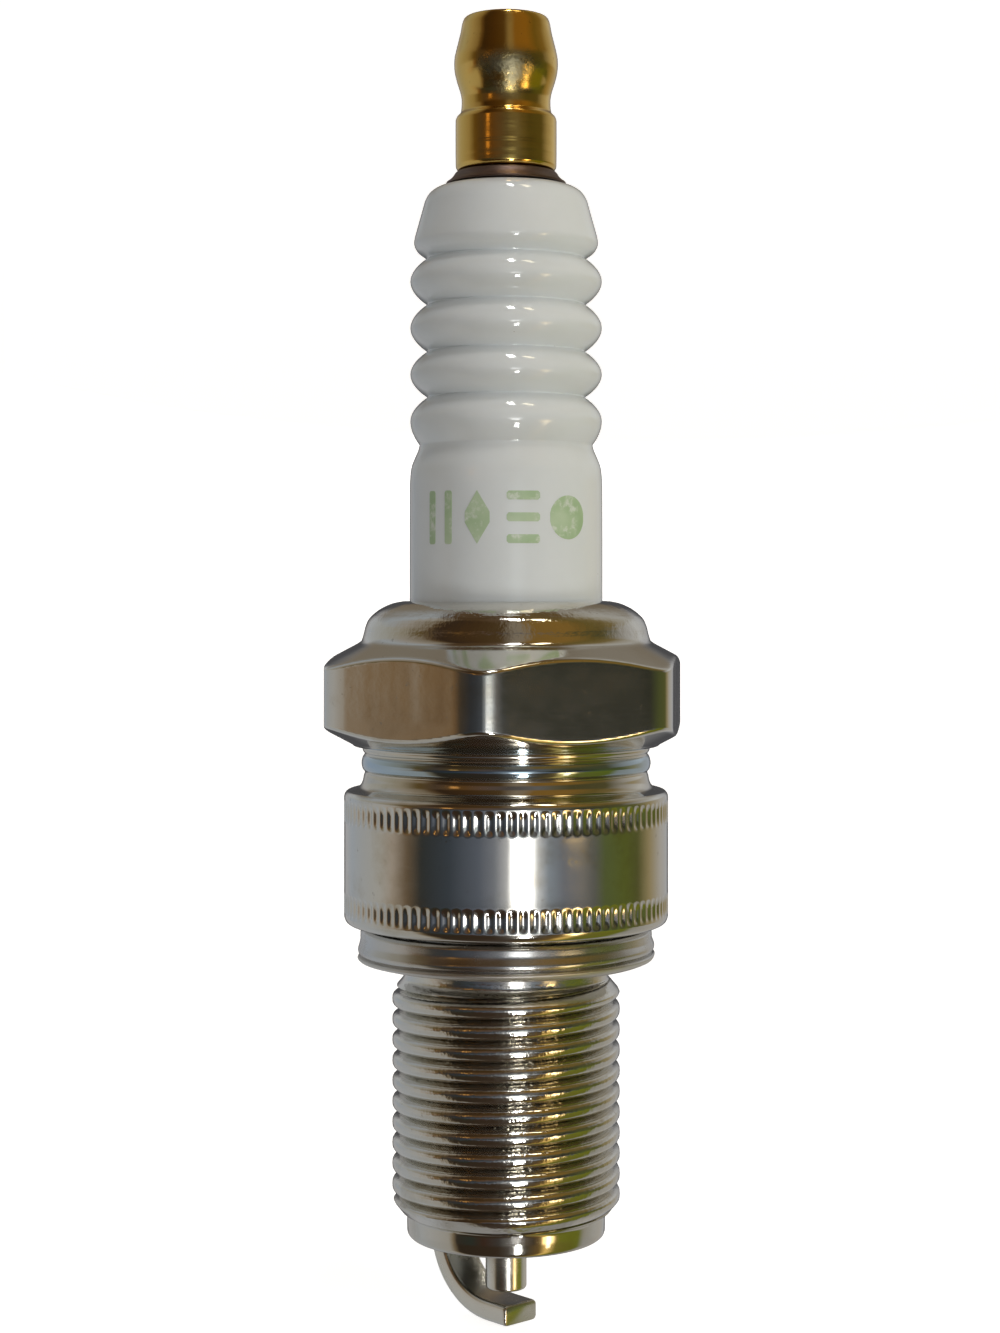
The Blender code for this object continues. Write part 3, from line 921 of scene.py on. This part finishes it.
def build_stud():
    g = Grid()
    n = 96
    top = g.lathe(n, rounded([(0.0, 56.95), (1.16, 56.95, 0.08), (1.44, 56.72, 0.08), (1.46, 56.68)], 4))
    flange = rounded(
        [
            (1.52, 48.40),
            (1.70, 48.20, 0.1),
            (3.02, 48.14, 0.12),
            (3.14, 48.02, 0.08),
            (3.24, 47.84, 0.12),
            (3.46, 47.62, 0.12),
            (3.66, 47.50, 0.08),
            (3.66, 47.38, 0.05),
            (2.30, 47.34, 0.1),
            (1.98, 47.08, 0.1),
            (1.98, 12.60, 0.2),
            (1.62, 12.30, 0.1),
        ],
        5,
    )
    for i in range(4):
        z = 12.10 - 1.20 * i
        flange += [(1.62, z), (1.86, z - 0.22), (1.86, z - 0.50), (1.62, z - 0.72)]
    flange += [(1.45, 7.20), (1.10, 6.98), (0.0, 6.98)]
    low = g.lathe(n, flange)
    root, crest = 1.52, 1.94

    def tooth_radius(phase):
        p = abs(phase - 0.5)
        h = smooth_min((0.47 - p) / 0.42, 0.96, 0.12)
        h = max(0.0, h)
        r = root + (crest - root) * h

        def radius(z):
            upper = 1.46 + (56.60 - z) * 1.1
            lower = root + (z - 48.75) * 0.9
            return max(1.46, min(r, upper, lower))

        return radius

    tooth = [(p, tooth_radius(p)) for p in (0.0, 0.12, 0.25, 0.38, 0.47, 0.53, 0.62, 0.75, 0.88)]
    thread_band(g, n, top[-1], low[0], 0.70, tooth, 55.92, len(tooth) * 10 + 2)
    return g.done("terminal_stud_skin", STUD, sharp=45)


stud = build_stud()
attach(stud, "plug")
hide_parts("terminal_stud")

nut_profile = rounded(
    [
        (2.08, 57.60),
        (2.36, 57.60, 0.10),
        (2.56, 57.50, 0.14),
        (2.68, 57.20, 0.25),
        (2.78, 56.60, 0.40),
        (3.00, 55.75, 0.50),
        (3.14, 55.15, 0.40),
        (3.17, 54.70, 0.40),
        (3.13, 54.20, 0.40),
        (2.98, 53.60, 0.45),
        (2.80, 53.08, 0.40),
        (2.70, 52.62, 0.40),
        (2.71, 52.05, 0.30),
        (2.77, 51.72, 0.06),
        (3.00, 51.50, 0.06),
        (3.08, 51.30, 0.08),
        (3.08, 49.30),
        (3.07, 48.44, 0.10),
        (2.94, 48.22, 0.10),
        (2.42, 48.20, 0.05),
        (2.12, 48.50, 0.05),
        (2.12, 57.20, 0.05),
        (2.08, 57.30),
    ],
    7,
)
g = Grid()
g.lathe(144, densify(nut_profile, 0.5), close=True)
nut = g.done("terminal_nut_skin", BRASS, sharp=60)
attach(nut, "nut")
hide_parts("terminal_nut")

# =====================================================================================
# electrodes
# =====================================================================================
centre_profile = rounded(
    [
        (0.80, 4.05),
        (1.28, 4.05),
        (1.36, 3.80),
        (1.36, 2.10),
        (2.12, 2.02),
        (2.18, 1.85),
        (2.18, 1.35),
        (1.25, 0.42, 0.1),
        (1.25, -14.0),
        (1.25, -19.68, 0.06),
        (1.16, -19.79, 0.05),
        (0.0, -19.80),
    ],
    5,
)
centre_inside = [(0.0, -17.00), (0.62, -16.90), (0.80, -16.50)]
g = Grid()
rings = g.lathe(96, densify(centre_profile, 1.0))
inner = g.lathe(96, centre_inside)
g.band(inner[-1], rings[0])
centre = g.done("centre_electrode_skin", ELECTRODE, sharp=50)
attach(centre, "plug")
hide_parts("centre_electrode")

# the strap: a rectangular wire with rolled edges, swept along its bend
HEADING = math.radians(42.7)
OUT = Vector((-math.sin(HEADING), math.cos(HEADING), 0.0))
UP = Vector((0.0, 0.0, 1.0))
SIDE = OUT.cross(UP)
STRAP_W, STRAP_T = 2.62, 1.22


def strap_curve():
    """The strap's middle line as (distance from the axis, height)."""
    z_flat = -19.80 - 0.70 - STRAP_T / 2
    pts = [Vector((5.02, -16.56)), Vector((5.01, -16.8))]
    # a bend that is tighter near the shell and opens towards the free end
    cx, cz = 0.35, -16.85
    rx, rz = 4.64, (cz - z_flat)
    for k in range(1, 34):
        a = 0.5 * math.pi * k / 33
        pts.append(Vector((cx + rx * math.cos(a) ** 0.92, cz - rz * math.sin(a) ** 1.02)))
    for k in range(1, 10):
        pts.append(Vector((cx - (cx + 1.32) * k / 9, z_flat)))
    return pts


def build_strap():
    line = strap_curve()
    bm = bmesh.new()
    section = []
    rw, rt, rc = STRAP_W / 2, STRAP_T / 2, 0.26
    for cx, cz, a0 in ((rw - rc, rt - rc, 0), (-(rw - rc), rt - rc, 90), (-(rw - rc), -(rt - rc), 180), (rw - rc, -(rt - rc), 270)):
        for k in range(6):
            a = math.radians(a0 + 90 * k / 5)
            section.append((cx + rc * math.cos(a), cz + rc * math.sin(a)))

    def at(i):
        a, b = line[max(i - 1, 0)], line[min(i + 1, len(line) - 1)]
        t = (b - a).normalized()
        return line[i], t

    loops = []
    last = len(line) - 1
    stations = [(0, 0.0, 1.0)] + [(i, 0.0, 1.0) for i in range(1, last)]
    # the free end is sheared off with a small rounded lip
    stations += [(last, -0.20, 1.0), (last, -0.10, 0.985), (last, -0.03, 0.95), (last, 0.0, 0.88)]
    for i, along, size in stations:
        p, t = at(i)
        up = Vector((-t.y, t.x))
        p = p + t * along
        ring = []
        for u, v in section:
            s = 1 - (1 - size) * 1.0
            q = p + up * (v * s if size < 1 else v)
            w = u * (1 - (1 - size) * 0.55)
            ring.append(bm.verts.new((OUT * q.x + UP * q.y + SIDE * w) * MM))
        loops.append(ring)
    for a, b in zip(loops, loops[1:]):
        for j in range(len(a)):
            k = (j + 1) % len(a)
            bm.faces.new((a[j], a[k], b[k], b[j]))
    bm.faces.new(loops[0][::-1])
    bm.faces.new(loops[-1])
    bmesh.ops.recalc_face_normals(bm, faces=bm.faces)
    mesh = bpy.data.meshes.new("ground_electrode_skin")
    bm.to_mesh(mesh)
    bm.free()
    for poly in mesh.polygons:
        poly.use_smooth = True
    mesh.set_sharp_from_angle(angle=math.radians(48))
    mesh.materials.append(ELECTRODE)
    obj = bpy.data.objects.new("ground_electrode_skin", mesh)
    bpy.context.scene.collection.objects.link(obj)
    return obj


strap = build_strap()
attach(strap, "plug")
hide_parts("ground_electrode")

# =====================================================================================
# hidden inner pieces keep the CAD's own shape
# =====================================================================================
INNER = {
    "glass_seal": plain("fused_seal_glass", (0.10, 0.07, 0.055), (0.20, 0.13, 0.10), 900.0, 0.35),
    "centre_electrode_core": plain("drawn_copper", (0.72, 0.33, 0.20), (0.58, 0.25, 0.15), 700.0, 0.25, 1.0),
    "upper_packing_ring": plain("ring_wire", (0.40, 0.40, 0.41), (0.28, 0.27, 0.27), 900.0, 0.35, 1.0),
    "talc_packing": plain("pressed_talc", (0.78, 0.77, 0.72), (0.66, 0.65, 0.60), 1500.0, 0.8, 0.0, 0.5),
}
INNER["lower_packing_ring"] = INNER["upper_packing_ring"]
INNER["insulator_seat_washer"] = INNER["upper_packing_ring"]
for obj in list(bpy.context.scene.objects):
    for node, mat in INNER.items():
        if obj.type == "MESH" and (obj.name == node or obj.name.startswith(node + ".")):
            for slot in obj.material_slots:
                slot.material = mat
            if not obj.material_slots:
                obj.data.materials.append(mat)

# =====================================================================================
# floor, light, camera
# =====================================================================================
Z_FLOOR = CAD_BOX[0][2] - 0.0001


def build_floor():
    """A pale floor that curves up all round into a wall."""
    bm = bmesh.new()
    n = 96
    prof = [(0.0, 0.0), (0.10, 0.0), (0.25, 0.0), (0.50, 0.0), (0.75, 0.0)]
    for k in range(1, 13):
        a = 0.5 * math.pi * k / 12
        prof.append((0.75 + 0.45 * math.sin(a), 0.45 * (1 - math.cos(a))))
    prof += [(1.20, 0.9), (1.20, 1.5)]
    rings = []
    for r, z in prof:
        if r == 0:
            rings.append([bm.verts.new((0, 0, Z_FLOOR + z))])
        else:
            rings.append([bm.verts.new((r * math.cos(TAU * j / n), r * math.sin(TAU * j / n), Z_FLOOR + z)) for j in range(n)])
    for a, b in zip(rings, rings[1:]):
        for j in range(n):
            k = (j + 1) % n
            if len(a) == 1:
                bm.faces.new((a[0], b[j], b[k]))
            else:
                bm.faces.new((a[j], b[j], b[k], a[k]))
    bmesh.ops.recalc_face_normals(bm, faces=bm.faces)
    mesh = bpy.data.meshes.new("pale_floor")
    bm.to_mesh(mesh)
    bm.free()
    for poly in mesh.polygons:
        poly.use_smooth = True
    obj = bpy.data.objects.new("pale_floor", mesh)
    bpy.context.scene.collection.objects.link(obj)
    m = Nodes("pale_floor_paint")
    cloud = m.noise(m.scaled(1, 1, 1), 3.0, 2.0, 0.5)
    m.into("Base Color", m.mix(cloud, (0.90, 0.90, 0.90), (0.92, 0.92, 0.92)))
    m.into("Roughness", 0.9)
    m.into("Specular IOR Level", 0.0)
    m.bsdf.inputs["Emission Color"].default_value = (1, 1, 1, 1)
    m.bsdf.inputs["Emission Strength"].default_value = 0.80
    mesh.materials.append(m.mat)
    # it is only there to be looked at: the studio round it is in the world
    obj.visible_glossy = False
    obj.visible_diffuse = False
    obj.visible_transmission = False
    obj.visible_shadow = False
    return obj


build_floor()


def studio_world():
    """The studio that the metal mirrors: pale walls to the sides and behind, a dim room round
    the camera, a warm ceiling and a pale floor. Built from the direction only."""
    world = bpy.data.worlds.new("studio")
    bpy.context.scene.world = world
    world.use_nodes = True
    tree = world.node_tree
    tree.nodes.clear()

    def new(kind):
        return tree.nodes.new(kind)

    def maths(op, a, b=None):
        n = new("ShaderNodeMath")
        n.operation = op
        for i, v in enumerate((a, b)):
            if v is None:
                continue
            if hasattr(v, "is_output"):
                tree.links.new(v, n.inputs[i])
            else:
                n.inputs[i].default_value = v
        return n.outputs[0]

    def colour_ramp(value, stops, mode="EASE"):
        n = new("ShaderNodeValToRGB")
        n.color_ramp.interpolation = mode
        els = n.color_ramp.elements
        while len(els) > 1:
            els.remove(els[-1])
        els[0].position = stops[0][0]
        els[0].color = (*stops[0][1], 1)
        for pos, col in stops[1:]:
            e = els.new(pos)
            e.color = (*col, 1)
        tree.links.new(value, n.inputs["Fac"])
        return n.outputs["Color"]

    def mix(fac, a, b):
        n = new("ShaderNodeMix")
        n.data_type = "RGBA"
        tree.links.new(fac, n.inputs[0])
        tree.links.new(a, n.inputs[6])
        tree.links.new(b, n.inputs[7])
        return n.outputs[2]

    coord = new("ShaderNodeTexCoord").outputs["Generated"]
    sep = new("ShaderNodeSeparateXYZ")
    tree.links.new(coord, sep.inputs[0])
    x, y, z = sep.outputs
    # azimuth from the front (-Y), positive to the right, as 0..1 over -180..180 degrees
    azimuth = maths("ADD", maths("DIVIDE", maths("ARCTAN2", x, maths("MULTIPLY", y, -1.0)), TAU), 0.5)
    elevation = maths("ADD", maths("DIVIDE", maths("ARCSINE", z), math.pi), 0.5)

    def az(deg):
        return deg / 360 + 0.5

    dark_back = (0.075, 0.075, 0.08)
    wall_left, wall_back, wall_right = (0.37, 0.405, 0.45), (0.42, 0.42, 0.43), (0.44, 0.415, 0.375)
    # what a mirror at each height sees, going round: the room just under the horizon
    low = colour_ramp(
        azimuth,
        [
            (0.0, dark_back),
            (az(-168), dark_back),
            (az(-158), wall_back),
            (az(-140), wall_left),
            (az(-100), (0.43, 0.42, 0.39)),
            (az(-87), (0.40, 0.34, 0.28)),
            (az(-74), (0.147, 0.103, 0.062)),
            (az(-62), (0.033, 0.037, 0.036)),
            (az(-40), (0.050, 0.061, 0.076)),
            (az(-19), (0.118, 0.135, 0.170)),
            (az(-8), (0.22, 0.235, 0.27)),
            (az(2), (0.60, 0.60, 0.61)),
            (az(5), (4.0, 4.0, 4.0)),
            (az(16), (4.0, 4.0, 4.05)),
            (az(21), (0.80, 0.82, 0.85)),
            (az(29), (0.29, 0.335, 0.39)),
            (az(41), (0.17, 0.185, 0.22)),
            (az(54), (0.19, 0.185, 0.18)),
            (az(64), (0.13, 0.13, 0.12)),
            (az(73), (0.104, 0.129, 0.045)),
            (az(92), (0.112, 0.134, 0.026)),
            (az(105), (0.092, 0.100, 0.024)),
            (az(121), (0.33, 0.265, 0.135)),
            (az(140), wall_right),
            (az(158), wall_back),
            (az(168), dark_back),
            (1.0, dark_back),
        ],
        "LINEAR",
    )
    # at the horizon
    level = colour_ramp(
        azimuth,
        [
            (0.0, dark_back),
            (az(-168), dark_back),
            (az(-158), wall_back),
            (az(-140), wall_left),
            (az(-96), (0.42, 0.41, 0.39)),
            (az(-80), (0.36, 0.32, 0.27)),
            (az(-76.5), (0.235, 0.152, 0.078)),
            (az(-73), (0.175, 0.100, 0.044)),
            (az(-66), (0.060, 0.045, 0.030)),
            (az(-50), (0.035, 0.036, 0.040)),
            (az(-12), (0.060, 0.068, 0.078)),
            (az(4), (0.30, 0.33, 0.36)),
            (az(8), (0.62, 0.68, 0.70)),
            (az(16), (0.58, 0.64, 0.66)),
            (az(25), (0.14, 0.13, 0.12)),
            (az(36), (0.042, 0.042, 0.031)),
            (az(60), (0.036, 0.036, 0.025)),
            (az(78), (0.080, 0.090, 0.030)),
            (az(100), (0.110, 0.110, 0.035)),
            (az(121), (0.33, 0.27, 0.15)),
            (az(140), wall_right),
            (az(158), wall_back),
            (az(168), dark_back),
            (1.0, dark_back),
        ],
        "LINEAR",
    )
    # a little above it
    upper = colour_ramp(
        azimuth,
        [
            (0.0, dark_back),
            (az(-168), dark_back),
            (az(-158), wall_back),
            (az(-152), (0.44, 0.46, 0.48)),
            (az(-116), (0.37, 0.37, 0.34)),
            (az(-94), (0.31, 0.28, 0.22)),
            (az(-76), (0.120, 0.080, 0.026)),
            (az(-59), (0.086, 0.058, 0.040)),
            (az(-50), (0.10, 0.060, 0.030)),
            (az(-45), (0.13, 0.070, 0.024)),
            (az(-40), (0.12, 0.062, 0.020)),
            (az(-34), (0.115, 0.060, 0.020)),
            (az(-16), (0.110, 0.075, 0.060)),
            (az(2), (0.085, 0.076, 0.074)),
            (az(25), (0.145, 0.145, 0.150)),
            (az(39), (0.120, 0.110, 0.070)),
            (az(54), (0.080, 0.074, 0.030)),
            (az(88), (0.096, 0.086, 0.036)),
            (az(108), (0.34, 0.32, 0.29)),
            (az(137), (0.56, 0.56, 0.55)),
            (az(158), wall_back),
            (az(168), dark_back),
            (1.0, dark_back),
        ],
        "LINEAR",
    )
    # the warm part of the room overhead, and its pale walls
    above = colour_ramp(
        azimuth,
        [
            (0.0, (0.16, 0.12, 0.08)),
            (az(-160), (0.22, 0.19, 0.15)),
            (az(-125), (0.36, 0.39, 0.42)),
            (az(-98), (0.33, 0.30, 0.26)),
            (az(-76), (0.22, 0.18, 0.13)),
            (az(-68), (0.11, 0.070, 0.035)),
            (az(-59), (0.038, 0.022, 0.012)),
            (az(-30), (0.060, 0.032, 0.012)),
            (az(-5), (0.080, 0.048, 0.018)),
            (az(8), (0.24, 0.20, 0.15)),
            (az(15), (0.24, 0.19, 0.13)),
            (az(24), (0.22, 0.125, 0.030)),
            (az(55), (0.24, 0.135, 0.030)),
            (az(80), (0.15, 0.110, 0.030)),
            (az(102), (0.20, 0.15, 0.06)),
            (az(120), (0.36, 0.33, 0.27)),
            (az(140), (0.43, 0.42, 0.39)),
            (az(165), (0.20, 0.165, 0.12)),
            (1.0, (0.16, 0.12, 0.08)),
        ],
        "LINEAR",
    )
    zenith = colour_ramp(
        azimuth,
        [
            (0.0, (0.125, 0.082, 0.045)),
            (az(-90), (0.07, 0.040, 0.018)),
            (az(0), (0.095, 0.055, 0.022)),
            (az(90), (0.14, 0.09, 0.028)),
            (1.0, (0.125, 0.082, 0.045)),
        ],
        "LINEAR",
    )
    below = colour_ramp(
        azimuth,
        [
            (0.0, dark_back),
            (az(-168), dark_back),
            (az(-158), wall_back),
            (az(-125), (0.40, 0.42, 0.44)),
            (az(-100), (0.42, 0.42, 0.41)),
            (az(-70), (0.38, 0.36, 0.32)),
            (az(-64), (0.24, 0.18, 0.11)),
            (az(-59), (0.038, 0.030, 0.022)),
            (az(-40), (0.030, 0.034, 0.026)),
            (az(-26), (0.050, 0.026, 0.016)),
            (az(-8), (0.055, 0.048, 0.042)),
            (az(3), (0.16, 0.15, 0.14)),
            (az(15), (0.17, 0.15, 0.13)),
            (az(22), (0.11, 0.085, 0.060)),
            (az(32), (0.060, 0.042, 0.022)),
            (az(41), (0.22, 0.13, 0.040)),
            (az(44), (3.00, 2.10, 0.85)),
            (az(54), (3.00, 2.10, 0.90)),
            (az(59), (0.26, 0.190, 0.040)),
            (az(64), (0.175, 0.185, 0.020)),
            (az(93), (0.165, 0.175, 0.020)),
            (az(102), (0.33, 0.31, 0.26)),
            (az(124), (0.42, 0.41, 0.38)),
            (az(140), wall_right),
            (az(158), wall_back),
            (az(168), dark_back),
            (1.0, dark_back),
        ],
        "LINEAR",
    )
    # the same further down, past the lamps
    deep = colour_ramp(
        azimuth,
        [
            (0.0, dark_back),
            (az(-168), dark_back),
            (az(-158), wall_back),
            (az(-125), (0.40, 0.42, 0.44)),
            (az(-70), (0.37, 0.35, 0.31)),
            (az(-64), (0.20, 0.15, 0.09)),
            (az(-58), (0.034, 0.024, 0.015)),
            (az(-10), (0.044, 0.028, 0.017)),
            (az(5), (0.075, 0.062, 0.050)),
            (az(24), (0.060, 0.044, 0.024)),
            (az(40), (0.16, 0.095, 0.028)),
            (az(48), (0.95, 0.62, 0.17)),
            (az(60), (0.17, 0.150, 0.026)),
            (az(93), (0.155, 0.165, 0.020)),
            (az(103), (0.33, 0.32, 0.29)),
            (az(140), wall_right),
            (az(158), wall_back),
            (az(168), dark_back),
            (1.0, dark_back),
        ],
        "LINEAR",
    )
    ground = colour_ramp(
        azimuth,
        [
            (0.0, (0.34, 0.34, 0.34)),
            (az(-90), (0.30, 0.29, 0.28)),
            (az(-66), (0.17, 0.14, 0.10)),
            (az(-56), (0.045, 0.030, 0.020)),
            (az(0), (0.060, 0.044, 0.032)),
            (az(38), (0.12, 0.080, 0.030)),
            (az(48), (0.50, 0.32, 0.085)),
            (az(60), (0.16, 0.150, 0.026)),
            (az(94), (0.155, 0.162, 0.024)),
            (az(110), (0.29, 0.28, 0.26)),
            (1.0, (0.34, 0.34, 0.34)),
        ],
        "LINEAR",
    )

    def weight(a, b):
        n = new("ShaderNodeMapRange")
        n.interpolation_type = "SMOOTHSTEP"
        tree.links.new(elevation, n.inputs["Value"])
        n.inputs["From Min"].default_value = a / 180 + 0.5
        n.inputs["From Max"].default_value = b / 180 + 0.5
        return n.outputs["Result"]

    def span(value, a, b, scale):
        n = new("ShaderNodeMapRange")
        n.interpolation_type = "SMOOTHSTEP"
        tree.links.new(value, n.inputs["Value"])
        n.inputs["From Min"].default_value = a / scale + 0.5
        n.inputs["From Max"].default_value = b / scale + 0.5
        return n.outputs["Result"]

    def patch(a0, a1, a2, a3, e0, e1, e2, e3):
        """1 inside a window of the sky, between two azimuths and two elevations."""
        across = maths("MULTIPLY", span(azimuth, a0, a1, 360), span(azimuth, a3, a2, 360))
        up = maths("MULTIPLY", span(elevation, e0, e1, 180), span(elevation, e3, e2, 180))
        return maths("MULTIPLY", across, up)

    def paint(colour):
        n = new("ShaderNodeRGB")
        n.outputs[0].default_value = (*colour, 1)
        return n.outputs[0]

    sky = mix(weight(-5.2, -4.1), low, level)
    sky = mix(weight(4, 8), sky, upper)
    sky = mix(weight(16, 26), sky, above)
    sky = mix(weight(56, 68), sky, zenith)
    sky = mix(weight(-8.6, -10.6), sky, below)
    sky = mix(weight(-17.5, -21), sky, deep)
    sky = mix(weight(-46, -60), sky, ground)
    # one hard lamp near the camera, just under the horizon
    sky = mix(patch(4, 8, 14, 19, -13.8, -13.0, -9.0, -7.8), sky, paint((6.5, 6.5, 6.5)))
    # and a small amber one to the left, a little above it
    sky = mix(patch(-47, -44, -40, -37, 9.0, 10.5, 12.5, 14.5), sky, paint((1.0, 0.50, 0.15)))
    background = new("ShaderNodeBackground")
    tree.links.new(sky, background.inputs["Color"])
    background.inputs["Strength"].default_value = 1.0
    out = new("ShaderNodeOutputWorld")
    tree.links.new(background.outputs[0], out.inputs["Surface"])


studio_world()

TARGET = Vector((0.0, 0.0, 0.018))


def softbox(name, azimuth, elevation, distance, width, height, watts, colour, mirrored=True):
    a, e = math.radians(azimuth), math.radians(elevation)
    direction = Vector((math.sin(a) * math.cos(e), -math.cos(a) * math.cos(e), math.sin(e)))
    data = bpy.data.lights.new(name, "AREA")
    data.shape = "RECTANGLE"
    data.size = width
    data.size_y = height
    data.energy = watts
    data.color = colour
    lamp = bpy.data.objects.new(name, data)
    lamp.location = TARGET + direction * distance
    lamp.rotation_euler = (-direction).to_track_quat("-Z", "Y").to_euler()
    lamp.visible_camera = False
    lamp.visible_glossy = mirrored
    bpy.context.scene.collection.objects.link(lamp)
    return lamp


# small lamps that leave sparks on the glaze and the thread: one high over the front, one low
softbox("spark_high", 14, 74, 0.60, 0.050, 0.140, 0.55, (1.0, 0.99, 0.97))
softbox("spark_low", 14, -29, 0.60, 0.050, 0.150, 0.60, (1.0, 0.99, 0.97))
softbox("warm_high", 50, 66, 0.60, 0.070, 0.120, 0.16, (1.0, 0.86, 0.60))
softbox("warm_low", 50, -20, 0.60, 0.050, 0.140, 0.05, (1.0, 0.86, 0.58))
# wide soft light that shapes the ceramic: stronger from the right
softbox("key_right", 48, 15, 0.9, 0.55, 0.65, 3.1, (0.95, 0.985, 1.0), False)
softbox("fill_left", -62, 6, 1.0, 0.6, 0.8, 0.85, (0.84, 0.93, 1.0), False)

# and one behind, that only the far side sees
softbox("fill_back", 176, 22, 1.0, 0.6, 0.8, 1.5, (1.0, 0.99, 0.97), False)

# --- camera at the photograph's viewing angle
camera_data = bpy.data.cameras.new("camera")
camera_data.sensor_width = 36
camera_data.sensor_fit = "AUTO"
camera_data.lens = 66.44
camera_data.shift_y = -0.0611
camera_data.clip_start = 0.005
camera_data.clip_end = 10
camera = bpy.data.objects.new("camera", camera_data)
camera.location = (-0.00037, -0.150, 0.0230)
camera.rotation_euler = (math.radians(90), 0, 0)
bpy.context.scene.collection.objects.link(camera)
bpy.context.scene.camera = camera
bpy.context.scene.view_settings.view_transform = "Standard"
